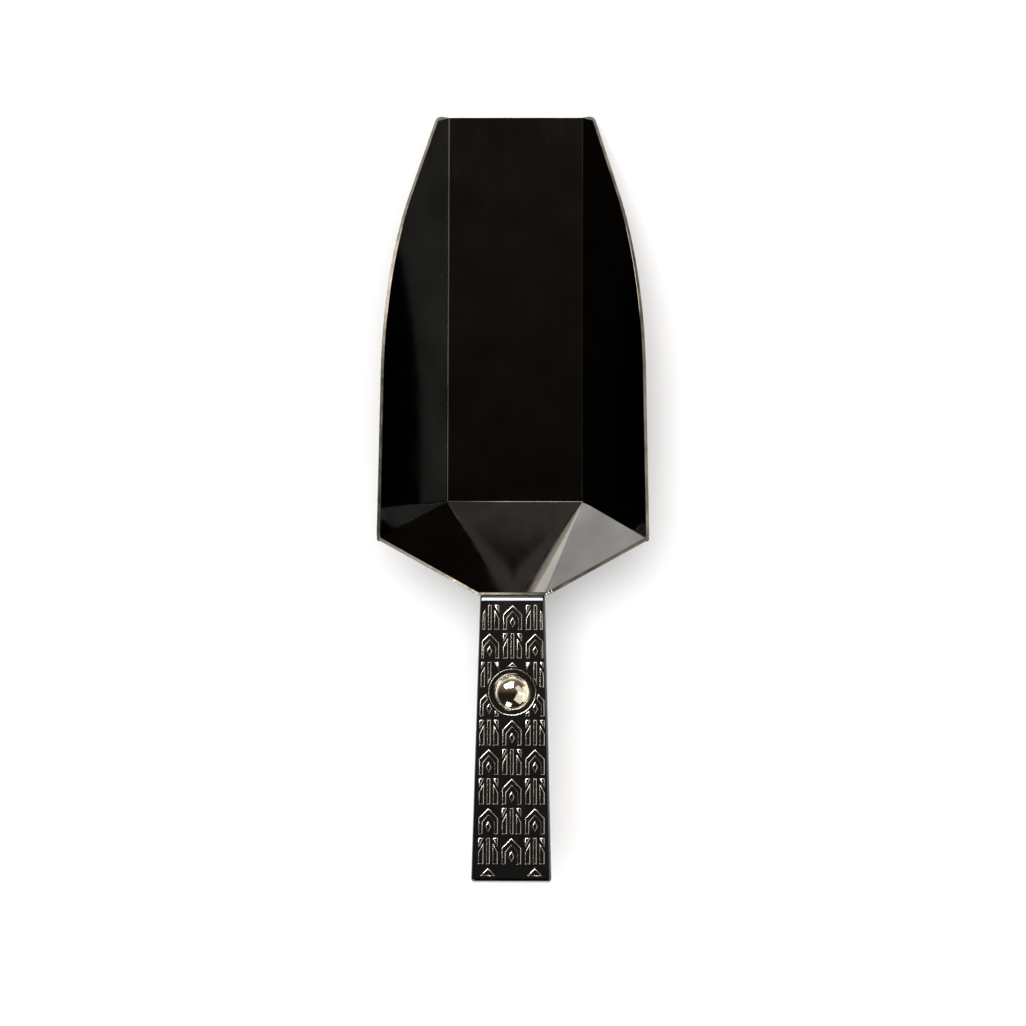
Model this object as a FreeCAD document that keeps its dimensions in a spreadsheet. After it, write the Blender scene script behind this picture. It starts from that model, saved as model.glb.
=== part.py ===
"""Folded sheet-metal scoop with a riveted strap handle.

X is to the right, Y runs from the handle towards the front edge and Z is up. The underside of the floor
stands on Z = 0 and the origin is under the middle of the scoop's length. The sketches of the bowl are drawn
from the rear crease of its floor, and the pieces of the handle in a tilted frame at the root of the strap.
"""
import FreeCAD, Part
import os
import re

import Sketcher
from FreeCAD import Vector

LENGTHS = {
    # the whole scoop
    "scoop_middle": 3.987,
    # the bowl: one sheet, folded up around its floor
    "sheet_gauge": 1.1,
    "floor_width": 43.2,
    "floor_length": 124.5,
    "rim_height": 43.7,
    "bend_radius": 0.7,
    "work_allowance": 10.0,
    # the side rim, drawn in the plane of the side wall, up its slope from the floor crease
    "front_rim_rise": 6.1,
    "rim_sweep_radius": 115.0,
    "front_corner_radius": 5.0,
    # the strap: Y = 0 at its root bend, Z = 0 at its upper face
    "strap_gauge": 1.2,
    "strap_length": 84.5,
    "strap_start": 1.6,
    "strap_root_width": 19.5,
    "strap_end_width": 23.3,
    "strap_depth": 4.0,
    "strap_edge_radius": 0.8,
    "strap_corner_radius": 0.9,
    "root_bend_radius": 3.2,
    "root_leg_length": 18.0,
    "root_stand_off": 0.9,
    # the liner that closes the strap from below
    "liner_gauge": 1.2,
    "liner_clearance": 0.15,
    # the raised lattice on the strap
    "lattice_height": 0.3,
    "lattice_pitch_across": 6.8,
    "lattice_pitch_along": 17.4,
    "lattice_start": 1.9,
    "lattice_margin": 0.95,
    # the rivet and what it holds
    "rivet_from_root": 28.8,
    "rivet_head_width": 11.4,
    "rivet_head_rise": 3.4,
    "rivet_shank_width": 5.0,
    "rivet_hole_clearance": 0.1,
    "rivet_recess_width": 13.6,
    "rivet_recess_depth": 0.45,
    "rivet_tail_width": 7.6,
    "rivet_tail_rise": 1.4,
    "washer_width": 10.5,
    "washer_gauge": 0.9,
    # the welds
    "weld_radius": 0.8,
    "tack_radius": 0.4,
}
ANGLES = {
    "side_slope": 67.0,
    "back_slope": 53.7,
    "corner_slope": 62.9,
    "corner_turn": 29.0,
    "front_edge_lean": 8.8,
    "front_rim_slope": 33.4,
    "rear_rim_slope": 2.2,
    "strap_rise": 10.5,
}
SIZES = {**LENGTHS, **ANGLES}
LATTICE_ROWS = 6
TACKS = 3
# Sizes that follow from the driving sizes, as formulas
FOLLOWING = {
    "rim_above_floor": "(rim_height - sheet_gauge)",
    "rear_rim_rise": "(rim_above_floor / sin(side_slope))",
    "back_rim_run": "(rim_above_floor / tan(back_slope))",
    "corner_rim_run": "(rim_above_floor / tan(corner_slope))",
    "block_height": "(rim_height + work_allowance)",
    "root_turn": "(back_slope - strap_rise)",
    "strap_root_y": "(-back_rim_run - sheet_gauge * sin(back_slope) - root_stand_off * cos(back_slope))",
    "strap_root_z": "(rim_height - sheet_gauge * cos(back_slope) + root_stand_off * sin(back_slope))",
    "liner_top": "(-strap_depth + liner_gauge)",
    "rivet_hole_width": "(rivet_shank_width + 2 * rivet_hole_clearance)",
}

doc = FreeCAD.newDocument("Scoop")
sheet = doc.addObject("Spreadsheet::Sheet", "Sizes")
for row, (name, value) in enumerate(SIZES.items(), start=1):
    sheet.set(f"A{row}", name)
    sheet.set(f"B{row}", str(value))
    sheet.setAlias(f"B{row}", name)
doc.recompute()

sub_parts = []


# ---------------------------------------------------------------- helpers

def formula(text):
    """Turn a formula in plain size names into an expression on the cells of the sheet."""
    text = str(text)
    while any(re.search(rf"\b{name}\b", text) for name in FOLLOWING):
        for name, meaning in FOLLOWING.items():
            text = re.sub(rf"\b{name}\b", meaning, text)
    for name in LENGTHS:
        text = re.sub(rf"\b{name}\b", f"Sizes.{name}", text)
    for name in ANGLES:
        text = re.sub(rf"\b{name}\b", f"(Sizes.{name} * 1deg)", text)
    return text


def value_of(text):
    """The number that a formula gives now."""
    value = sheet.evalExpression(formula(text))
    return float(getattr(value, "Value", value))


def bind(target, **properties):
    """Bind properties of an object to formulas."""
    for name, text in properties.items():
        target.setExpression(name, formula(text))


def placing(x="0", y="0", z="0", axis=(1, 0, 0), turn="0deg"):
    """An expression for a placement: a place and a turn about one axis."""
    direction = "; ".join(str(part) for part in axis)
    return (f"create(<<placement>>; create(<<vector>>; {formula(x)}; {formula(y)}; {formula(z)}); "
            f"create(<<rotation>>; create(<<vector>>; {direction}); {formula(turn)}))")


def new_body(label, finished=True):
    """A body drawn from the rear crease of the floor; a finished one is moved into the scoop's frame."""
    body = doc.addObject("PartDesign::Body", label)
    body.Label = label
    if finished:
        body.setExpression("Placement", placing(y="-scoop_middle"))
        sub_parts.append(body)
    return body


def new_handle_body(label):
    """A body in the tilted frame of the strap."""
    body = new_body(label)
    body.setExpression("Placement", placing(y="strap_root_y - scoop_middle", z="strap_root_z",
                                            turn="-strap_rise"))
    return body


def new_sketch(body, plane, name, offset=None):
    """A sketch on one of the body's own origin planes, which offset may move and turn."""
    sketch = body.newObject("Sketcher::SketchObject", name)
    support = next(item for item in body.Origin.OriginFeatures if item.Role == plane)
    sketch.AttachmentSupport = [(support, "")]
    sketch.MapMode = "FlatFace"
    if offset:
        sketch.setExpression("AttachmentOffset", offset)
    return sketch


def pin_point(sketch, edge, end, x, y):
    """Hold one end of a sketch edge at two formulas, measured from the sketch's origin."""
    for kind, text in (("DistanceX", x), ("DistanceY", y)):
        index = sketch.addConstraint(Sketcher.Constraint(kind, -1, 1, edge, end, value_of(text)))
        sketch.setExpression(f"Constraints[{index}]", formula(text))


def draw_outline(sketch, points, domes=None):
    """Draw a closed outline through points given as formulas.

    domes maps the number of an edge to a radius: that edge is an arc which bulges to the right of its run.
    """
    places = [Vector(value_of(x), value_of(y), 0) for x, y in points]
    first = sketch.GeometryCount
    count = len(places)
    for number, start in enumerate(places):
        end = places[(number + 1) % count]
        if domes and number in domes:
            radius = value_of(domes[number])
            chord = end - start
            side = Vector(chord.y, -chord.x, 0).normalize()
            reach = (radius ** 2 - chord.Length ** 2 / 4) ** 0.5
            middle = (start + end) * 0.5 - side * reach + side * radius
            sketch.addGeometry(Part.Arc(start, middle, end))
        else:
            sketch.addGeometry(Part.LineSegment(start, end))
    for number, (x, y) in enumerate(points):
        edge = first + number
        before = first + (number - 1) % count
        leaving = 1
        if domes and number in domes:
            leaving = nearest_end(sketch, edge, places[number])
        arriving = 2
        if domes and (number - 1) % count in domes:
            arriving = nearest_end(sketch, before, places[number])
        sketch.addConstraint(Sketcher.Constraint("Coincident", before, arriving, edge, leaving))
        pin_point(sketch, edge, leaving, x, y)
    for number, radius in (domes or {}).items():
        index = sketch.addConstraint(Sketcher.Constraint("Radius", first + number, value_of(radius)))
        sketch.setExpression(f"Constraints[{index}]", formula(radius))


def nearest_end(sketch, edge, place):
    """Which end of a sketch edge lies at a place: 1 for its start, 2 for its end."""
    return min((1, 2), key=lambda end: (sketch.getPoint(edge, end) - place).Length)


def draw_circle(sketch, x, y, width):
    """Draw a circle with its centre and width given as formulas."""
    centre = Vector(value_of(x), value_of(y), 0)
    edge = sketch.addGeometry(Part.Circle(centre, Vector(0, 0, 1), value_of(width) / 2))
    pin_point(sketch, edge, 3, x, y)
    index = sketch.addConstraint(Sketcher.Constraint("Diameter", edge, value_of(width)))
    sketch.setExpression(f"Constraints[{index}]", formula(width))


def new_feature(body, kind, name, profile=None, **settings):
    """Add a PartDesign feature, set its plain settings, and make it the body's tip."""
    feature = body.newObject(f"PartDesign::{kind}", name)
    if profile:
        feature.Profile = profile
    for setting, value in settings.items():
        setattr(feature, setting, value)
    body.Tip = feature
    return feature


def cut(body, name, profile, **settings):
    """Pocket a profile and make sure that it took something away."""
    doc.recompute()
    before = body.Shape.Volume
    pocket = new_feature(body, "Pocket", name, profile, **settings)
    doc.recompute()
    if body.Shape.Volume > before - 1e-4:
        raise RuntimeError(f"{name} cut nothing")
    return pocket


def mirror(body, name, feature):
    """Repeat a feature on the other side of the scoop's middle plane."""
    plane = next(item for item in body.Origin.OriginFeatures if item.Role == "YZ_Plane")
    return new_feature(body, "Mirrored", name, Originals=[feature], MirrorPlane=(plane, [""]))


def edge_names(shape, wanted):
    """The names of the edges whose middle point and direction there pass a test."""
    names = []
    for number, edge in enumerate(shape.Edges, start=1):
        halfway = (edge.FirstParameter + edge.LastParameter) / 2
        if wanted(edge.valueAt(halfway), edge.tangentAt(halfway)):
            names.append(f"Edge{number}")
    return names


def round_edges(body, name, radius, wanted):
    """Fillet the edges that pass a test on their middle and direction."""
    doc.recompute()
    names = edge_names(body.Tip.Shape, wanted)
    if not names:
        raise RuntimeError(f"{name} found no edge")
    fillet = new_feature(body, "Fillet", name, Base=(body.Tip, names))
    bind(fillet, Radius=radius)
    doc.recompute()
    return fillet


# ---------------------------------------------------------------- the bowl

def make_block(label, growth, ahead, above, finished=False):
    """A solid block with the bowl's folds, growth outside the bowl's inner faces.

    The block runs past the front edge by ahead, and past the rim by above.
    """
    body = new_body(label, finished)
    floor = f"(sheet_gauge - {growth})"
    top = f"(block_height + {above})"
    half_floor = f"(floor_width / 2 + {growth} * tan(side_slope / 2))"
    half_top = f"({half_floor} + ({top} - {floor}) / tan(side_slope))"
    rear = "(back_rim_run + 4 * work_allowance)"

    section = new_sketch(body, "XZ_Plane", f"{label}_section",
                         placing(z=f"-(floor_length + {ahead})"))
    draw_outline(section, ((f"-{half_floor}", floor), (half_floor, floor),
                           (half_top, top), (f"-{half_top}", top)))
    block = new_feature(body, "Pad", f"{label}_block", section)
    bind(block, Length=f"floor_length + {ahead} + {rear}")

    below = f"({floor} - work_allowance)"
    crease = f"(-{growth} * tan(back_slope / 2))"
    profile = new_sketch(body, "YZ_Plane", f"{label}_back_profile")
    draw_outline(profile, ((f"{crease} + work_allowance / tan(back_slope)", below),
                           (f"{crease} - ({top} + work_allowance - {floor}) / tan(back_slope)",
                            f"{top} + work_allowance"),
                           (f"-{rear} - work_allowance", f"{top} + work_allowance"),
                           (f"-{rear} - work_allowance", below)))
    cut(body, f"{label}_back", profile, Type="ThroughAll", SideType="Symmetric")

    crease_height = value_of(floor)
    round_edges(body, f"{label}_bends", f"bend_radius + {growth}",
                lambda middle, way: abs(middle.z - crease_height) < 0.01
                and (abs(way.y) > 0.99 or middle.y < 1) and middle.y < value_of("floor_length") - 1)

    corner = new_sketch(body, "XZ_Plane", f"{label}_corner_profile",
                        placing(x="floor_width / 2", axis=(0, 1, 0), turn="corner_turn - 90deg"))
    line = f"{growth} / sin(corner_slope)"
    draw_outline(corner, ((f"{line} - (sheet_gauge - {below}) / tan(corner_slope)", below),
                          (f"{line} + ({top} + work_allowance - sheet_gauge) / tan(corner_slope)",
                           f"{top} + work_allowance"),
                          (f"{rear} + work_allowance", f"{top} + work_allowance"),
                          (f"{rear} + work_allowance", below)))
    pocket = cut(body, f"{label}_corner", corner, Type="ThroughAll", SideType="Symmetric")
    mirror(body, f"{label}_corners", pocket)
    return body


def make_bowl():
    """The folded bowl: an outer block less a hollow, with every rim cut square to its own wall."""
    hollow = make_block("bowl_hollow", "0", "work_allowance", "work_allowance")
    body = make_block("scoop_bowl", "sheet_gauge", "0", "0", finished=True)
    hollowing = new_feature(body, "Boolean", "bowl_walls", Type="Cut")
    hollowing.addObject(hollow)
    cut_side_rims(body)
    cut_back_rim(body)
    cut_corner_rims(body)
    return body


def cut_side_rims(body):
    """Cut both side rims: a straight rise from the front edge, swept into a nearly level top."""
    rear = "(back_rim_run + 3 * work_allowance)"
    # where the rising line and the level line of the rim would cross
    crossing = ("((front_rim_rise + floor_length * tan(front_rim_slope) - rear_rim_rise)"
                " / (tan(front_rim_slope) - tan(rear_rim_slope)))")
    crossing_rise = f"(rear_rim_rise - {crossing} * tan(rear_rim_slope))"
    high = "(rear_rim_rise + 3 * work_allowance)"
    # where the rising line meets the wall's front edge, which leans back from the floor's
    corner_rise = "(front_rim_rise / (1 - tan(front_edge_lean) * tan(front_rim_slope)))"
    corner = f"(floor_length - {corner_rise} * tan(front_edge_lean))"
    rim = new_sketch(body, "YZ_Plane", "side_rim",
                     placing(y="sheet_gauge", z="floor_width / 2", turn="90deg - side_slope"))
    draw_outline(rim, (("floor_length", "0"),
                       (corner, corner_rise),
                       (crossing, crossing_rise),
                       (f"-{rear}", f"rear_rim_rise + {rear} * tan(rear_rim_slope)"),
                       (f"-{rear}", high),
                       ("floor_length + work_allowance", high),
                       ("floor_length + work_allowance", "0")))
    pocket = cut(body, "side_rim_cut", rim, Type="ThroughAll", SideType="Symmetric")
    mirror(body, "side_rims", pocket)
    bend_at = value_of(crossing)
    round_edges(body, "rim_sweeps", "rim_sweep_radius",
                lambda middle, way: abs(middle.y - bend_at) < 0.5 and abs(way.y) < 0.1)
    corner_at = value_of(corner)
    round_edges(body, "front_corners", "front_corner_radius",
                lambda middle, way: abs(middle.y - corner_at) < 0.1 and abs(way.y) < 0.1
                and abs(way.z) < 0.5)


def cut_back_rim(body):
    """Cut the rim of the back wall, square to the wall."""
    rim = new_sketch(body, "YZ_Plane", "back_rim",
                     placing(x="-back_rim_run", y="rim_height", axis=(0, 0, 1), turn="90deg - back_slope"))
    draw_outline(rim, (("-3 * work_allowance", "0"), ("3 * work_allowance", "0"),
                       ("3 * work_allowance", "3 * work_allowance"),
                       ("-3 * work_allowance", "3 * work_allowance")))
    cut(body, "back_rim_cut", rim, Type="ThroughAll", SideType="Symmetric")


def cut_corner_rims(body):
    """Cut the rims of the two corner walls, square to each wall."""
    offset = (f"{placing(x='floor_width / 2', axis=(0, 1, 0), turn='corner_turn - 90deg')}"
              f" * {placing(x='corner_rim_run', y='rim_height', axis=(0, 0, 1), turn='corner_slope - 90deg')}")
    rim = new_sketch(body, "XZ_Plane", "corner_rim", offset)
    draw_outline(rim, (("-3 * work_allowance", "0"), ("3 * work_allowance", "0"),
                       ("3 * work_allowance", "3 * work_allowance"),
                       ("-3 * work_allowance", "3 * work_allowance")))
    pocket = cut(body, "corner_rim_cut", rim, Type="ThroughAll", SideType="Symmetric")
    mirror(body, "corner_rims", pocket)


# ---------------------------------------------------------------- the handle

def strap_outline(inset, start, end):
    """The flared outline of the strap, inset at its sides, between two distances from the root."""
    flare = "(strap_end_width - strap_root_width) / (2 * strap_length)"
    near = f"(strap_root_width / 2 + {start} * {flare} - {inset})"
    far = f"(strap_root_width / 2 + {end} * {flare} - {inset})"
    return ((f"-{near}", f"-{start}"), (near, f"-{start}"), (far, f"-{end}"), (f"-{far}", f"-{end}"))


def lattice_figures():
    """The outlines of one repeat of the lattice, in fractions of its two pitches.

    A roof on two legs stands over a diamond; below them a post stands between two pairs of cut bars.
    """
    roof = ((0.0, 0.03), (0.42, 0.20), (0.42, 0.47), (0.24, 0.47), (0.24, 0.27), (0.0, 0.155),
            (-0.24, 0.27), (-0.24, 0.47), (-0.42, 0.47), (-0.42, 0.20))
    diamond = ((0.0, 0.24), (0.13, 0.34), (0.0, 0.44), (-0.13, 0.34))
    post = ((0.085, 0.53), (0.085, 0.97), (-0.085, 0.97), (-0.085, 0.53))
    right_wedge = ((0.19, 0.53), (0.42, 0.53), (0.42, 0.70))
    right_bar = ((0.19, 0.60), (0.42, 0.77), (0.42, 0.97), (0.19, 0.97))
    rights = (right_wedge, right_bar)
    lefts = tuple(tuple((-x, y) for x, y in figure) for figure in rights)
    return (roof, diamond, post) + rights + lefts


def raise_lattice(body):
    """Raise the half-drop lattice on the strap, column by column, then clear its margins."""
    run = next(item for item in body.Origin.OriginFeatures if item.Role == "Y_Axis")
    for number, (column, drop) in enumerate(((-1, 0.5), (0, 0.0), (1, 0.5)), start=1):
        sketch = new_sketch(body, "XY_Plane", f"lattice_figures_{number}")
        for figure in lattice_figures():
            draw_outline(sketch, [(f"({column} + {x}) * lattice_pitch_across",
                                   f"-lattice_start - ({y} - {drop}) * lattice_pitch_along")
                                  for x, y in figure])
        bars = new_feature(body, "Pad", f"lattice_bars_{number}", sketch)
        bind(bars, Length="lattice_height")
        rows = new_feature(body, "LinearPattern", f"lattice_rows_{number}", Originals=[bars],
                           Direction=(run, [""]), Reversed=True, Mode="Spacing", Occurrences=LATTICE_ROWS)
        bind(rows, Offset="lattice_pitch_along")
    margins = new_sketch(body, "XY_Plane", "lattice_margins")
    wide = "(strap_end_width + 2 * work_allowance)"
    draw_outline(margins, ((f"-{wide}", "2 * work_allowance"), (wide, "2 * work_allowance"),
                           (wide, "-strap_length - 4 * work_allowance"),
                           (f"-{wide}", "-strap_length - 4 * work_allowance")))
    draw_outline(margins, strap_outline("lattice_margin", "lattice_start",
                                        "(strap_length - 1.5 * lattice_margin)"))
    edges = cut(body, "lattice_edges", margins, Reversed=True, Length=1)
    bind(edges, Length="2 * lattice_height")
    ring = new_sketch(body, "XY_Plane", "lattice_ring")
    draw_circle(ring, "0", "-rivet_from_root", "rivet_recess_width + 1.6 * lattice_margin")
    clearing = cut(body, "lattice_clearing", ring, Reversed=True, Length=1)
    bind(clearing, Length="2 * lattice_height")


def make_handle_plate():
    """The strap: a flared channel with turned-down edges, a raised lattice and a leg for the weld."""
    body = new_handle_body("handle_plate")
    side = new_sketch(body, "YZ_Plane", "strap_profile")
    draw_outline(side, (("-strap_length", "0"), ("0", "0"),
                        ("root_leg_length * cos(root_turn)", "-root_leg_length * sin(root_turn)"),
                        ("root_leg_length * cos(root_turn) - strap_gauge * sin(root_turn)",
                         "-root_leg_length * sin(root_turn) - strap_gauge * cos(root_turn)"),
                        ("-strap_gauge * tan(root_turn / 2)", "-strap_gauge"),
                        ("-strap_length", "-strap_gauge")))
    strip = new_feature(body, "Pad", "strap_strip", side, SideType="Symmetric")
    bind(strip, Length="strap_end_width + work_allowance")
    under = value_of("strap_gauge * tan(root_turn / 2)")
    round_edges(body, "root_bend_top", "root_bend_radius",
                lambda middle, way: abs(way.x) > 0.99 and abs(middle.y) < 0.01 and abs(middle.z) < 0.01)
    round_edges(body, "root_bend_under", "root_bend_radius - strap_gauge",
                lambda middle, way: abs(way.x) > 0.99 and abs(middle.y + under) < 0.01
                and middle.z > -3)

    wide = "(strap_end_width + work_allowance)"
    outline = strap_outline("0", "-root_leg_length", "strap_length")
    flare = new_sketch(body, "XY_Plane", "strap_plan")
    draw_outline(flare, ((f"-{wide}", "root_leg_length"), (wide, "root_leg_length"),
                         (wide, "-strap_length - work_allowance"),
                         (f"-{wide}", "-strap_length - work_allowance")))
    draw_outline(flare, outline)
    cut(body, "strap_flare", flare, Type="ThroughAll", SideType="Symmetric")

    edges = new_sketch(body, "XY_Plane", "turned_edges_plan", placing(z="-strap_gauge"))
    outer = strap_outline("0", "strap_start", "strap_length")
    inner = strap_outline("strap_gauge", "strap_start", "(strap_length - strap_gauge)")
    draw_outline(edges, (outer[0], inner[0], inner[3], inner[2], inner[1], outer[1], outer[2], outer[3]))
    turned = new_feature(body, "Pad", "turned_edges", edges, Reversed=True)
    bind(turned, Length="strap_depth - strap_gauge")
    end = value_of("strap_length")
    round_edges(body, "strap_corners", "strap_corner_radius",
                lambda middle, way: abs(way.z) > 0.99 and middle.y < -end + 0.1)
    round_edges(body, "strap_edges", "strap_edge_radius",
                lambda middle, way: abs(middle.z) < 0.01 and middle.y < -1.5)

    raise_lattice(body)
    recess = new_sketch(body, "XY_Plane", "rivet_recess_circle")
    draw_circle(recess, "0", "-rivet_from_root", "rivet_recess_width")
    seat = cut(body, "rivet_recess", recess, Length=1)
    bind(seat, Length="rivet_recess_depth")
    drill_rivet_hole(body)
    return body


def drill_rivet_hole(body):
    """Drill the hole for the rivet's shank through a piece of the handle."""
    hole = new_sketch(body, "XY_Plane", f"{body.Label}_hole_circle")
    draw_circle(hole, "0", "-rivet_from_root", "rivet_hole_width")
    cut(body, f"{body.Label}_hole", hole, Type="ThroughAll", SideType="Symmetric")


def make_handle_liner():
    """The flat plate that closes the channel of the strap from below."""
    body = new_handle_body("handle_liner")
    sketch = new_sketch(body, "XY_Plane", "liner_plan", placing(z="-strap_depth"))
    inset = "(strap_gauge + liner_clearance)"
    draw_outline(sketch, strap_outline(inset, "(2.5 * strap_gauge)", f"(strap_length - {inset})"))
    plate = new_feature(body, "Pad", "liner_block", sketch)
    bind(plate, Length="liner_gauge")
    end = value_of("strap_length - 2 * strap_gauge")
    round_edges(body, "liner_corners", "strap_corner_radius / 2",
                lambda middle, way: abs(way.z) > 0.99 and middle.y < -end + 2)
    drill_rivet_hole(body)


def make_ring(label, base, height):
    """A flat ring on the rivet's shank, which stands on the height given as base."""
    body = new_handle_body(label)
    sketch = new_sketch(body, "XY_Plane", f"{label}_circles", placing(z=base))
    draw_circle(sketch, "0", "-rivet_from_root", "washer_width")
    draw_circle(sketch, "0", "-rivet_from_root", "rivet_hole_width")
    ring = new_feature(body, "Pad", f"{label}_block", sketch)
    bind(ring, Length=height)


def dome_radius(width, rise):
    """The radius of a dome from the width of its foot and its rise."""
    return f"(({width} / 2)^2 + {rise}^2) / (2 * {rise})"


def make_rivet():
    """The rivet: a domed head in its recess, a shank, and a tail peened over the washer."""
    body = new_handle_body("rivet")
    profile = new_sketch(body, "XZ_Plane", "rivet_profile", placing(z="rivet_from_root"))
    seat = "(-rivet_recess_depth)"
    tail = "(-strap_depth - washer_gauge)"
    draw_outline(profile, (("0", f"{tail} - rivet_tail_rise"), ("rivet_tail_width / 2", tail),
                           ("rivet_shank_width / 2", tail), ("rivet_shank_width / 2", seat),
                           ("rivet_head_width / 2", seat), ("0", f"{seat} + rivet_head_rise")),
                 domes={0: dome_radius("rivet_tail_width", "rivet_tail_rise"),
                        4: dome_radius("rivet_head_width", "rivet_head_rise")})
    turned = new_feature(body, "Revolution", "rivet_turned", profile, Angle=360,
                         ReferenceAxis=(profile, ["V_Axis"]))
    return turned


# ---------------------------------------------------------------- the welds

def finish(item, label):
    """Name a sub-part that is made of Part primitives, and keep it for export."""
    item.Label = label
    sub_parts.append(item)
    return item


def trim(item, tools, label):
    """Cut away from a primitive what lies inside other pieces."""
    for number, tool in enumerate(tools, start=1):
        trimmed = doc.addObject("Part::Cut", f"{label}_trim_{number}")
        trimmed.Base = item
        trimmed.Tool = tool
        item = trimmed
    return item


def make_corner_welds(bowl):
    """A bead outside each rear corner seam, from above the floor to just under the rim."""
    across = "(1 / tan(side_slope))"
    back = "((sin(corner_turn) / tan(side_slope) - 1 / tan(corner_slope)) / cos(corner_turn))"
    lean = f"sqrt({across}^2 + {back}^2)"
    start_up = "(3 * weld_radius)"
    start_x = f"(floor_width / 2 + sheet_gauge / sin(side_slope) + {start_up} * {across})"
    start_y = (f"((sheet_gauge * sin(corner_turn) / sin(side_slope) - sheet_gauge / sin(corner_slope))"
               f" / cos(corner_turn) + {start_up} * {back})")
    rod = doc.addObject("Part::Cylinder", "corner_weld_rod")
    bind(rod, Radius="weld_radius",
         Height=f"(rim_above_floor - {start_up} - 2 * weld_radius) * sqrt(1 + {lean}^2)")
    rod.setExpression("Placement", placing(
        x=start_x, y=f"{start_y} - scoop_middle", z=f"sheet_gauge + {start_up}",
        axis=(formula(f"-{back}"), formula(across), "0"), turn=f"atan({lean})"))
    right = finish(trim(rod, [bowl], "corner_weld_right"), "corner_weld_right")
    left = doc.addObject("Part::Mirroring", "corner_weld_left")
    left.Source = right
    left.Normal = Vector(1, 0, 0)
    finish(left, "corner_weld_left")


def make_root_weld(bowl, plate):
    """A bead along the lower end of the strap's leg, on the outside of the back wall."""
    rod = doc.addObject("Part::Cylinder", "root_weld_rod")
    length = "(strap_root_width - 4 * weld_radius)"
    bind(rod, Radius="1.2 * weld_radius", Height=length)
    drop = "(root_leg_length * sin(back_slope))"
    ahead = "(root_leg_length * cos(back_slope))"
    rod.setExpression("Placement", placing(x=f"-{length} / 2", y=f"strap_root_y + {ahead} - scoop_middle",
                                           z=f"strap_root_z - {drop}", axis=(0, 1, 0), turn="90deg"))
    finish(trim(rod, [bowl, plate], "handle_root_weld"), "handle_root_weld")


def make_tack_welds(bowl, plate):
    """Three small tacks in a row on the rim, beside the right edge of the strap's root."""
    tacks = []
    corner_x = ("((corner_rim_run - back_rim_run * cos(corner_turn)) / sin(corner_turn)"
                " + floor_width / 2)")
    for number in range(TACKS):
        tack = doc.addObject("Part::Sphere", f"tack_{number + 1}")
        bind(tack, Radius="tack_radius")
        along = f"({number} * 2.2 * tack_radius)"
        tack.setExpression("Placement", placing(
            x=f"{corner_x} + {along} * cos(corner_turn)",
            y=f"-back_rim_run - sheet_gauge / 2 + {along} * sin(corner_turn) - scoop_middle",
            z="rim_height"))
        tacks.append(trim(tack, [bowl, plate], f"tack_{number + 1}"))
    row = doc.addObject("Part::Compound", "root_tack_welds")
    row.Links = tacks
    finish(row, "root_tack_welds")


# ---------------------------------------------------------------- build, check and write

def check_document():
    """Stop on any object that failed, and on any sub-part without a sound shape."""
    doc.recompute()
    for item in doc.Objects:
        if "Invalid" in item.State or "Error" in item.State:
            raise RuntimeError(f"{item.Label} failed: {item.State}")
    for part in sub_parts:
        if part.Shape.isNull() or not part.Shape.isValid():
            raise RuntimeError(f"{part.Label} has no sound shape")


bowl = make_bowl()
plate = make_handle_plate()
make_handle_liner()
make_ring("rivet_spacer", "liner_top", "-strap_gauge - liner_top")
make_ring("rivet_washer", "-strap_depth - washer_gauge", "washer_gauge")
make_rivet()
doc.recompute()
make_corner_welds(bowl)
make_root_weld(bowl, plate)
make_tack_welds(bowl, plate)
check_document()

os.makedirs("parts", exist_ok=True)
whole = FreeCAD.BoundBox()
for part in sub_parts:
    part.Shape.exportStep(f"parts/{part.Label}.step")
    whole.add(part.Shape.BoundBox)
    print(f"{part.Label}: {part.Shape.Volume:.1f} mm3, {len(part.Shape.Solids)} solid(s)")
print(f"whole scoop: {whole}")
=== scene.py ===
"""The looks of the folded scoop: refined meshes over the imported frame, materials, studio and camera."""

import math

import bmesh
import bpy
from mathutils import Matrix, Vector
from mathutils.bvhtree import BVHTree


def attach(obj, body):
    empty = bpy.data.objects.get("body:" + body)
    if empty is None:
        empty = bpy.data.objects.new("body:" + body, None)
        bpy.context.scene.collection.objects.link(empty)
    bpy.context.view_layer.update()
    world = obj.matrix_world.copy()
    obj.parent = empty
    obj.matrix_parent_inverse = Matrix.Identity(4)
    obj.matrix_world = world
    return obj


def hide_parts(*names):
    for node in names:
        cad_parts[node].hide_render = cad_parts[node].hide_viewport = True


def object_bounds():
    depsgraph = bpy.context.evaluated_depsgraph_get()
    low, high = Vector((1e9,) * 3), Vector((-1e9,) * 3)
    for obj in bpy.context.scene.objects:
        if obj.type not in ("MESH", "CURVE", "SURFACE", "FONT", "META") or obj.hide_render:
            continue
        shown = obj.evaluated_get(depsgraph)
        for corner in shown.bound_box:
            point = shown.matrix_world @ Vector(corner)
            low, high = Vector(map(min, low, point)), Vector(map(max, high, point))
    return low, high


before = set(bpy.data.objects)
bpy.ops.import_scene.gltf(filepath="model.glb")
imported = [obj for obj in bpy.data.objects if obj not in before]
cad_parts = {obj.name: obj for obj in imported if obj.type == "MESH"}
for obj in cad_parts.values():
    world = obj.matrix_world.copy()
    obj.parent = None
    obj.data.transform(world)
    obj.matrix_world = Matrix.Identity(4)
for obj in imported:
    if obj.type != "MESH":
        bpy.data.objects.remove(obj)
CAD_BOX = [list(corner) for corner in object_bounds()]
MIDDLE = (Vector(CAD_BOX[0]) + Vector(CAD_BOX[1])) / 2
MM = 0.001
ROOT = "root"

# The bowl's sheet; a face with more than so many gauges of metal behind it is a cut face.
SHEET_GAUGE = 1.1 * MM
CUT_FACE_GAUGES = 1.6

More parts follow.
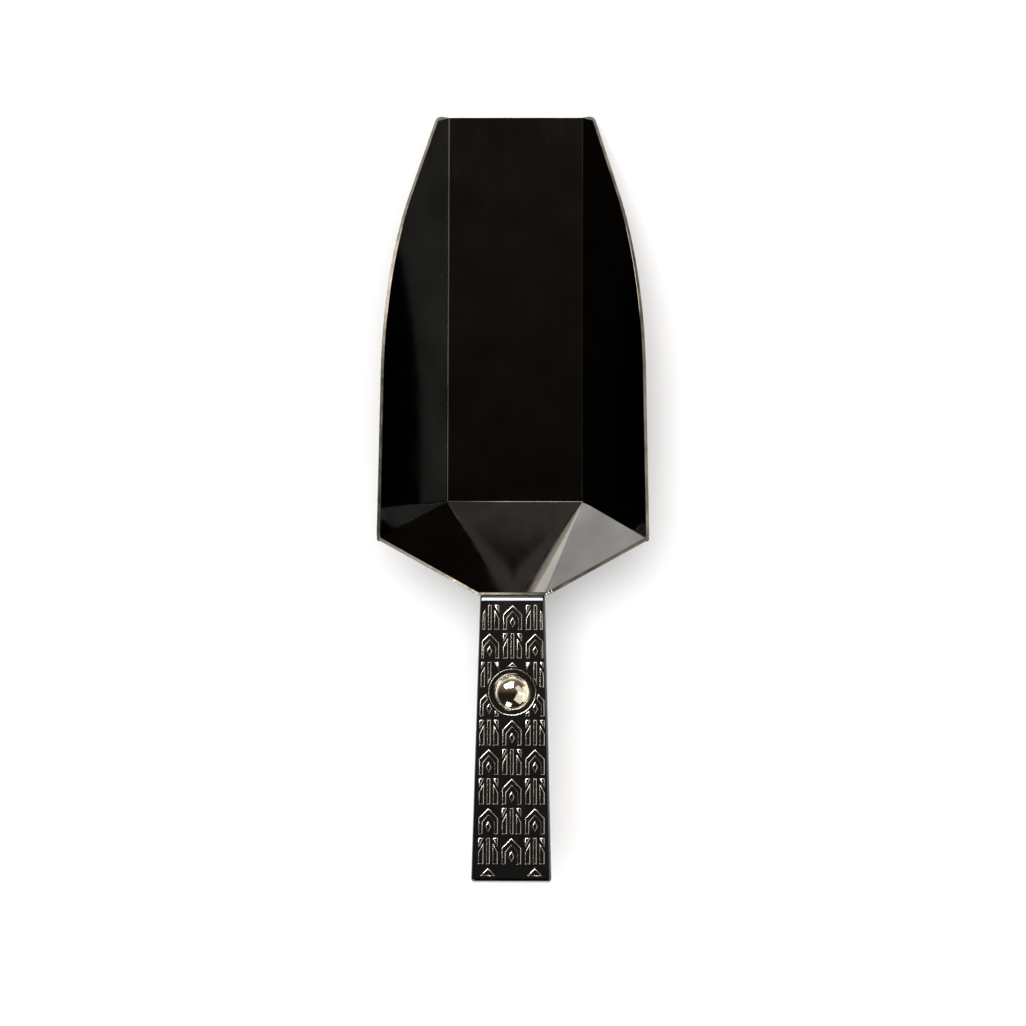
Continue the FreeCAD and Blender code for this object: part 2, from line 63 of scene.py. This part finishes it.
# The strap's rise in degrees, its lattice, and the smallest figures of the lattice that are kept.
STRAP_RISE = 10.5
LATTICE_HEIGHT = 0.3 * MM
LEAST_AREA = 1.2 * MM ** 2
LEAST_END_AREA = 4.5 * MM ** 2
PARALLEL = 0.999
SQUARE_ON = 0.05

# The bends between the back wall and the corner walls: cones from a foot to a top, on both sides.
FOLD_FOOT = Vector((21.6, -3.99, 1.1)) * MM
FOLD_TOP = Vector((10.04, -35.28, 43.7)) * MM
FOLD_SPREAD = 0.33
FOLD_SLOPE = 0.36
FOLD_POWER = 3.0
FOLD_LEAST_REACH = 0.1 * MM

# Distances within which points of a mesh are joined, and angles in degrees for its faces and edges.
JOIN_DISTANCE = 0.002 * MM
PRESSED_JOIN_DISTANCE = 0.003 * MM
RAY_CLEARANCE = 0.01 * MM
FLAT_DEGREES = 0.4
ARRIS_DEGREES = 50.0

# The floor lies just under the scoop.
FLOOR_HALF_WIDTH = 6.0
FLOOR_GAP = 0.1 * MM

# The camera: a long lens, its place, and its turns in degrees about X, Y and Z.
SENSOR_WIDTH_MM = 36.0
LENS_MM = 82.93
CAMERA_PLACE = Vector((10.66, -74.07, 750.0)) * MM
CAMERA_TURNS = (5.069, 0.849, 0.131)


# ---------------------------------------------------------------- node helpers

class Shader:
    """A material whose nodes are added and linked by name."""

    def __init__(self, name):
        self.material = bpy.data.materials.new(name)
        self.material.use_nodes = True
        self.tree = self.material.node_tree
        self.tree.nodes.clear()
        self.output = self.add("OutputMaterial")
        self.surface = self.add("BsdfPrincipled")
        self.link(self.surface.outputs["BSDF"], self.output.inputs["Surface"])
        self.place = self.add("TexCoord").outputs["Object"]

    def add(self, kind, **settings):
        """Add a node, set its plain properties, and its inputs where the setting names one."""
        node = self.tree.nodes.new(f"ShaderNode{kind}")
        for setting, value in settings.items():
            if setting in node.inputs:
                node.inputs[setting].default_value = value
            else:
                setattr(node, setting, value)
        return node

    def link(self, start, end):
        """Join an output socket to an input socket."""
        self.tree.links.new(start, end)

    def set(self, **values):
        """Set sockets of the surface shader; underscores stand for spaces."""
        for name, value in values.items():
            self.surface.inputs[name.replace("_", " ")].default_value = value

    def noise(self, scale, detail=3.0, roughness=0.5, stretch=None):
        """A noise over the object, in features per metre; stretch squeezes it along X, Y and Z."""
        texture = self.add("TexNoise", Scale=scale, Detail=detail, Roughness=roughness)
        source = self.place
        if stretch:
            mapping = self.add("Mapping")
            mapping.inputs["Scale"].default_value = stretch
            self.link(source, mapping.inputs["Vector"])
            source = mapping.outputs["Vector"]
        self.link(source, texture.inputs["Vector"])
        return texture.outputs["Fac"]

    def math(self, operation, first, second=None):
        """Work out a number from sockets or plain numbers."""
        node = self.add("Math", operation=operation)
        for socket, value in zip(node.inputs, (first, second)):
            if isinstance(value, (int, float)):
                socket.default_value = value
            elif value is not None:
                self.link(value, socket)
        return node.outputs["Value"]

    def ramp(self, source, low, high, start=0.35, end=0.65):
        """Turn a 0 to 1 pattern into a range of numbers between two of its levels."""
        node = self.add("MapRange")
        node.inputs["From Min"].default_value = start
        node.inputs["From Max"].default_value = end
        node.inputs["To Min"].default_value = low
        node.inputs["To Max"].default_value = high
        self.link(source, node.inputs["Value"])
        return node.outputs["Result"]

    def mix(self, factor, first, second):
        """Mix two plain colours by a pattern."""
        node = self.add("Mix", data_type="RGBA")
        self.link(factor, node.inputs["Factor"])
        for socket, colour in ((node.inputs[6], first), (node.inputs[7], second)):
            socket.default_value = (*colour, 1.0)
        return node.outputs[2]

    def bump(self, height, strength, distance):
        """Feed a height pattern to the surface as bumps, one after another."""
        node = self.add("Bump", Strength=strength, Distance=distance)
        self.link(height, node.inputs["Height"])
        if self.surface.inputs["Normal"].is_linked:
            self.link(self.surface.inputs["Normal"].links[0].from_socket, node.inputs["Normal"])
        self.link(node.outputs["Normal"], self.surface.inputs["Normal"])


# ---------------------------------------------------------------- materials

def fold_height(shader):
    """The height, in metres, of the cone-shaped bends where the back wall turns into the corner walls.

    Each bend starts at a point on the floor and widens up to the rim. Both sides are alike.
    """
    along = (FOLD_TOP - FOLD_FOOT).normalized()
    wall_normal = Vector((0.0, FOLD_TOP.z - FOLD_FOOT.z, FOLD_FOOT.y - FOLD_TOP.y)).normalized()
    across = along.cross(wall_normal)
    parts = shader.add("SeparateXYZ")
    shader.link(shader.place, parts.inputs["Vector"])
    joined = shader.add("CombineXYZ")
    shader.link(shader.math("ABSOLUTE", parts.outputs["X"]), joined.inputs["X"])
    shader.link(parts.outputs["Y"], joined.inputs["Y"])
    shader.link(parts.outputs["Z"], joined.inputs["Z"])
    from_foot = shader.add("VectorMath", operation="SUBTRACT")
    shader.link(joined.outputs["Vector"], from_foot.inputs[0])
    from_foot.inputs[1].default_value = FOLD_FOOT
    distances = []
    for direction in (along, across):
        product = shader.add("VectorMath", operation="DOT_PRODUCT")
        shader.link(from_foot.outputs["Vector"], product.inputs[0])
        product.inputs[1].default_value = direction
        distances.append(product.outputs["Value"])
    reach, aside = distances
    width = shader.math("MULTIPLY", shader.math("MAXIMUM", reach, FOLD_LEAST_REACH), FOLD_SPREAD)
    left = shader.math("SUBTRACT", 1.0, shader.math("DIVIDE", aside, width))
    inside = shader.math("MULTIPLY", shader.math("MAXIMUM", left, 0.0),
                         shader.math("GREATER_THAN", aside, 0.0))
    curve = shader.math("POWER", inside, FOLD_POWER)
    return shader.math("MULTIPLY", shader.math("MULTIPLY", curve, width), FOLD_SLOPE / FOLD_POWER)


def black_plate(name, dark, light, roughness, folded=False):
    """Glossy black plating with faint clouds, streaky smears, a gentle waviness and a fine grain."""
    shader = Shader(name)
    shader.set(Metallic=1.0)
    clouds = shader.ramp(shader.noise(scale=48.0, detail=3.0), 0.0, 1.0)
    shader.link(shader.mix(clouds, dark, light), shader.surface.inputs["Base Color"])
    streaks = shader.noise(scale=90.0, detail=4.0, roughness=0.6, stretch=(3.0, 0.7, 1.0))
    shader.link(shader.ramp(streaks, *roughness), shader.surface.inputs["Roughness"])
    shader.bump(shader.noise(scale=26.0, detail=1.0), strength=0.25, distance=0.25 * MM)
    shader.bump(shader.noise(scale=1400.0, detail=2.0), strength=0.03, distance=0.01 * MM)
    if folded:
        shader.bump(fold_height(shader), strength=1.0, distance=1.0)
    return shader.material


def bare_metal(name, dark, light, roughness, grain, grain_scale):
    """Bare metal in patches of two tones, with a fine grain in its gloss and its height."""
    shader = Shader(name)
    shader.set(Metallic=1.0)
    patches = shader.ramp(shader.noise(scale=160.0, detail=4.0, roughness=0.6), 0.0, 1.0)
    shader.link(shader.mix(patches, dark, light), shader.surface.inputs["Base Color"])
    gloss_grain = shader.ramp(shader.noise(grain_scale, detail=3.0), *roughness)
    shader.link(gloss_grain, shader.surface.inputs["Roughness"])
    shader.bump(shader.noise(1.5 * grain_scale, detail=2.0), strength=grain, distance=0.02 * MM)
    return shader.material


def floor_paper():
    """The pale, slightly mottled paper that the scoop lies on."""
    shader = Shader("floor_paper")
    mottle = shader.ramp(shader.noise(scale=6.0, detail=4.0), 0.0, 1.0)
    pale = shader.mix(mottle, (0.86, 0.86, 0.86), (0.88, 0.88, 0.88))
    shader.link(pale, shader.surface.inputs["Base Color"])
    shader.set(Roughness=0.9, Specular_IOR_Level=0.1)
    return shader.material


BOWL_BLACK = black_plate("bowl_black", dark=(0.076, 0.074, 0.071), light=(0.106, 0.104, 0.100),
                         roughness=(0.04, 0.10), folded=True)
STRAP_BLACK = black_plate("strap_black", dark=(0.076, 0.086, 0.098), light=(0.086, 0.096, 0.108),
                          roughness=(0.05, 0.12))
LINER_BLACK = black_plate("liner_black", dark=(0.085, 0.080, 0.075), light=(0.100, 0.094, 0.088),
                          roughness=(0.08, 0.16))
CUT_EDGE = bare_metal("cut_edge", dark=(0.12, 0.106, 0.084), light=(0.27, 0.240, 0.190),
                      roughness=(0.28, 0.50), grain=0.25, grain_scale=1500.0)
# A brighter pale metal for the strap's rounded lattice arrises: a painted highlight on top of what the
# rounded edges really reflect.
PAINTED_HIGHLIGHT_EDGE = bare_metal("painted_highlight_edge", dark=(0.40, 0.39, 0.34), light=(0.54, 0.53, 0.46),
                       roughness=(0.20, 0.30), grain=0.04, grain_scale=1200.0)
RIVET_METAL = bare_metal("rivet_metal", dark=(0.74, 0.66, 0.53), light=(0.80, 0.72, 0.59),
                         roughness=(0.06, 0.12), grain=0.02, grain_scale=900.0)
PLAIN_STEEL = bare_metal("plain_steel", dark=(0.42, 0.41, 0.39), light=(0.60, 0.58, 0.55),
                         roughness=(0.22, 0.36), grain=0.10, grain_scale=900.0)
WELD_METAL = bare_metal("weld_metal", dark=(0.05, 0.048, 0.045), light=(0.13, 0.12, 0.11),
                        roughness=(0.20, 0.42), grain=0.60, grain_scale=700.0)
TACK_METAL = bare_metal("tack_metal", dark=(0.55, 0.52, 0.46), light=(0.75, 0.72, 0.65),
                        roughness=(0.15, 0.30), grain=0.20, grain_scale=1200.0)


# ---------------------------------------------------------------- meshes

def joined_copy(node):
    """A copy of a CAD node's mesh with its points joined."""
    work = bmesh.new()
    work.from_mesh(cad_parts[node].data)
    bmesh.ops.remove_doubles(work, verts=work.verts, dist=JOIN_DISTANCE)
    return work


def mark_cut_faces(work, gauge):
    """Give material 1 to every face with more metal behind it than the gauge of the sheet."""
    tree = BVHTree.FromBMesh(work)
    for face in work.faces:
        middle = face.calc_center_median()
        start = middle - RAY_CLEARANCE * face.normal
        depth = tree.ray_cast(start, -face.normal)[3]
        face.material_index = 1 if depth is None or depth > CUT_FACE_GAUGES * gauge else 0


def merge_flats(work):
    """Merge the triangles of flat faces, material by material."""
    bmesh.ops.dissolve_limit(work, angle_limit=math.radians(FLAT_DEGREES), verts=work.verts,
                             edges=work.edges, delimit={"MATERIAL"})


def round_sharp_edges(work, width, steps, fewest_degrees=35.0, material=-1, wanted=None, clamp=True):
    """Round every sharp edge a little, or only the wanted ones."""
    sharp = [edge for edge in work.edges
             if len(edge.link_faces) == 2 and edge.calc_face_angle(0.0) > math.radians(fewest_degrees)
             and (wanted is None or wanted(edge))]
    bmesh.ops.bevel(work, geom=sharp, offset=width, offset_type="OFFSET", segments=steps, profile=0.5,
                    affect="EDGES", clamp_overlap=clamp, material=material)


def to_piece(work, name, node, materials, smooth_degrees=28.0):
    """Turn a bmesh into a piece that stands for a CAD node."""
    for face in work.faces:
        face.smooth = True
    mesh = bpy.data.meshes.new(name)
    work.to_mesh(mesh)
    work.free()
    for material in materials:
        mesh.materials.append(material)
    mesh.set_sharp_from_angle(angle=math.radians(smooth_degrees))
    piece = bpy.data.objects.new(name, mesh)
    bpy.context.scene.collection.objects.link(piece)
    weighted = piece.modifiers.new("flat_faces_stay_flat", "WEIGHTED_NORMAL")
    weighted.weight = 100
    weighted.keep_sharp = True
    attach(piece, ROOT)
    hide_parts(node)


def make_bowl():
    """The folded bowl, with a bare cut rim between two dark rounded arrises."""
    work = joined_copy("scoop_bowl")
    mark_cut_faces(work, SHEET_GAUGE)
    merge_flats(work)

    def is_rim_arris(edge):
        """An edge between a cut face and a plated one."""
        return len({face.material_index for face in edge.link_faces}) == 2

    round_sharp_edges(work, width=0.16 * MM, steps=2, fewest_degrees=ARRIS_DEGREES, material=0,
                      wanted=is_rim_arris)
    to_piece(work, "bowl", "scoop_bowl", (BOWL_BLACK, CUT_EDGE), smooth_degrees=20.0)


def press_scraps_flat(work, upward):
    """Press into the strap the scraps of lattice that its end and the rivet's ring have cut off."""
    along = Vector((0.0, -upward.z, upward.y))
    level = [face for face in work.faces if face.normal.dot(upward) > PARALLEL]
    top = max(face.verts[0].co.dot(upward) for face in level)
    raised = [face for face in level if top - face.verts[0].co.dot(upward) < 0.1 * LATTICE_HEIGHT]
    reach = {face: max(vert.co.dot(along) for vert in face.verts) for face in raised}
    end = max(reach.values())
    for face in raised:
        least = LEAST_END_AREA if end - reach[face] < LATTICE_HEIGHT else LEAST_AREA
        if face.calc_area() < least:
            for vert in face.verts:
                vert.co -= LATTICE_HEIGHT * upward
    bmesh.ops.remove_doubles(work, verts=work.verts, dist=PRESSED_JOIN_DISTANCE)
    merge_flats(work)


def make_strap():
    """The strap, with rounded arrises along the raised lattice and along its turned edges, in a brighter
    metal that paints a highlight along them.
    """
    work = joined_copy("handle_plate")
    merge_flats(work)
    rise = math.radians(STRAP_RISE)
    upward = Vector((0.0, math.sin(rise), math.cos(rise)))
    press_scraps_flat(work, upward)

    def is_top_edge(edge):
        """An outer edge between a face that lies along the strap and one that stands on it."""
        slants = sorted(face.normal.dot(upward) for face in edge.link_faces)
        return edge.is_convex and abs(slants[0]) < SQUARE_ON and slants[1] > PARALLEL

    # The rounded top edges get material 1, the brighter metal that paints a highlight along them.
    round_sharp_edges(work, width=0.25 * MM, steps=3, fewest_degrees=ARRIS_DEGREES, material=1,
                      wanted=is_top_edge, clamp=False)
    to_piece(work, "strap", "handle_plate", (STRAP_BLACK, PAINTED_HIGHLIGHT_EDGE))


def make_small_pieces():
    """Every other node: its own mesh and metal, with edges rounded to a width in mm, in steps."""
    recipes = (
        ("handle_liner", "liner", "black_coat", LINER_BLACK, 0.15, 2),
        ("rivet", "rivet_turned", "rivet_metal", RIVET_METAL, 0.12, 3),
        ("rivet_spacer", "spacer", "bare_steel", PLAIN_STEEL, 0.1, 2),
        ("rivet_washer", "washer", "bare_steel", PLAIN_STEEL, 0.12, 3),
        ("corner_weld_right", "seam_bead_right", "weld_metal", WELD_METAL, 0.0, 0),
        ("corner_weld_left", "seam_bead_left", "weld_metal", WELD_METAL, 0.0, 0),
        ("handle_root_weld", "root_bead", "weld_metal", WELD_METAL, 0.0, 0),
        ("root_tack_welds", "tacks", "tack_metal", TACK_METAL, 0.0, 0),
    )
    for node, name, slot_name, material, width, steps in recipes:
        work = joined_copy(node)
        merge_flats(work)
        if width:
            round_sharp_edges(work, width * MM, steps)
        to_piece(work, name, node, (material,))


# ---------------------------------------------------------------- studio

def make_floor():
    """A wide, plain floor."""
    work = bmesh.new()
    bmesh.ops.create_grid(work, x_segments=8, y_segments=8, size=FLOOR_HALF_WIDTH)
    mesh = bpy.data.meshes.new("floor")
    work.to_mesh(mesh)
    work.free()
    mesh.materials.append(floor_paper())
    floor = bpy.data.objects.new("floor", mesh)
    floor.location.z = CAD_BOX[0][2] - FLOOR_GAP
    bpy.context.scene.collection.objects.link(floor)


def card(name, toward, distance, size, radiance, colour=(1.0, 1.0, 1.0), roll_degrees=0.0):
    """A card seen only in reflections, of a given size and radiance, facing the scoop."""
    width, height = size
    light = bpy.data.lights.new(name, "AREA")
    light.shape = "RECTANGLE"
    light.size = width
    light.size_y = height
    light.energy = 4.0 * radiance * width * height
    light.color = colour
    lamp = bpy.data.objects.new(name, light)
    lamp.visible_camera = False
    lamp.visible_diffuse = False
    lamp.location = MIDDLE + Vector(toward).normalized() * distance
    roll = Matrix.Rotation(math.radians(roll_degrees), 3, "Z")
    lamp.rotation_euler = (Vector(toward).to_track_quat("Z", "Y").to_matrix() @ roll).to_euler()
    bpy.context.scene.collection.objects.link(lamp)


def wash(name, toward, strength, spread_degrees):
    """A distant broad light that only lights matt surfaces."""
    light = bpy.data.lights.new(name, "SUN")
    light.energy = strength
    light.angle = math.radians(spread_degrees)
    lamp = bpy.data.objects.new(name, light)
    lamp.visible_glossy = False
    lamp.rotation_euler = Vector(toward).to_track_quat("Z", "Y").to_euler()
    bpy.context.scene.collection.objects.link(lamp)


def make_room():
    """A dim room: a pale glow low down that fades upwards, and a faint warm one ahead of the scoop."""
    world = bpy.data.worlds.new("room")
    world.use_nodes = True
    tree = world.node_tree
    parts = tree.nodes.new("ShaderNodeSeparateXYZ")
    tree.links.new(tree.nodes.new("ShaderNodeTexCoord").outputs["Generated"], parts.inputs["Vector"])
    output = tree.nodes["World Output"]
    both = tree.nodes.new("ShaderNodeAddShader")
    tree.links.new(both.outputs["Shader"], output.inputs["Surface"])
    levels = ("From Min", "From Max", "To Min", "To Max")
    glows = (("Z", (0.0, 0.22, 0.42, 0.0), (1.0, 0.97, 0.93, 1.0)),
             ("Y", (0.05, 0.45, 0.02, 0.16), (1.0, 0.80, 0.64, 1.0)))
    for number, (axis, values, colour) in enumerate(glows):
        ramp = tree.nodes.new("ShaderNodeMapRange")
        for level, value in zip(levels, values):
            ramp.inputs[level].default_value = value
        glow = tree.nodes.new("ShaderNodeBackground")
        glow.inputs["Color"].default_value = colour
        tree.links.new(parts.outputs[axis], ramp.inputs["Value"])
        tree.links.new(ramp.outputs["Result"], glow.inputs["Strength"])
        tree.links.new(glow.outputs["Background"], both.inputs[number])
    bpy.context.scene.world = world


def make_studio():
    """Two washes light the floor; the cards light only the gloss: three ahead, three right, one behind."""
    wash("sky_wash", toward=(0.0, 0.0, 1.0), strength=2.4, spread_degrees=150.0)
    wash("top_wash", toward=(-0.08, 0.06, 1.0), strength=1.9, spread_degrees=32.0)
    card("key_card", toward=(-0.40, 0.69, 0.64), distance=1.6, size=(0.82, 0.68), radiance=13.0)
    card("front_card", toward=(-0.09, 0.74, 0.70), distance=1.6, size=(0.56, 0.86), radiance=11.0,
         colour=(1.0, 0.92, 0.82))
    card("low_card", toward=(-0.02, 0.92, 0.392), distance=1.2, size=(0.50, 0.130), radiance=1.0,
         colour=(1.0, 0.98, 0.92))
    card("right_card", toward=(0.66, 0.26, 0.76), distance=0.7, size=(0.62, 0.34), radiance=0.65,
         colour=(0.98, 1.0, 1.0), roll_degrees=12.0)
    card("side_card", toward=(0.62, -0.34, 0.66), distance=1.0, size=(0.95, 0.85), radiance=0.80,
         colour=(1.0, 0.96, 0.88))
    card("low_side_card", toward=(0.95, -0.05, 0.26), distance=1.0, size=(1.30, 0.52), radiance=0.85,
         colour=(1.0, 0.96, 0.88))
    card("rear_card", toward=(-0.27, -0.82, 0.46), distance=1.6, size=(0.56, 0.56), radiance=9.0)
    make_room()
    bpy.context.scene.view_settings.view_transform = "Standard"


def make_camera():
    """A long lens looking almost straight down, a little from the handle's side."""
    camera = bpy.data.cameras.new("camera")
    camera.sensor_width = SENSOR_WIDTH_MM
    camera.lens = LENS_MM
    eye = bpy.data.objects.new("camera", camera)
    eye.location = CAMERA_PLACE
    eye.rotation_euler = [math.radians(turn) for turn in CAMERA_TURNS]
    bpy.context.scene.collection.objects.link(eye)
    bpy.context.scene.camera = eye


make_bowl()
make_strap()
make_small_pieces()
make_floor()
make_studio()
make_camera()
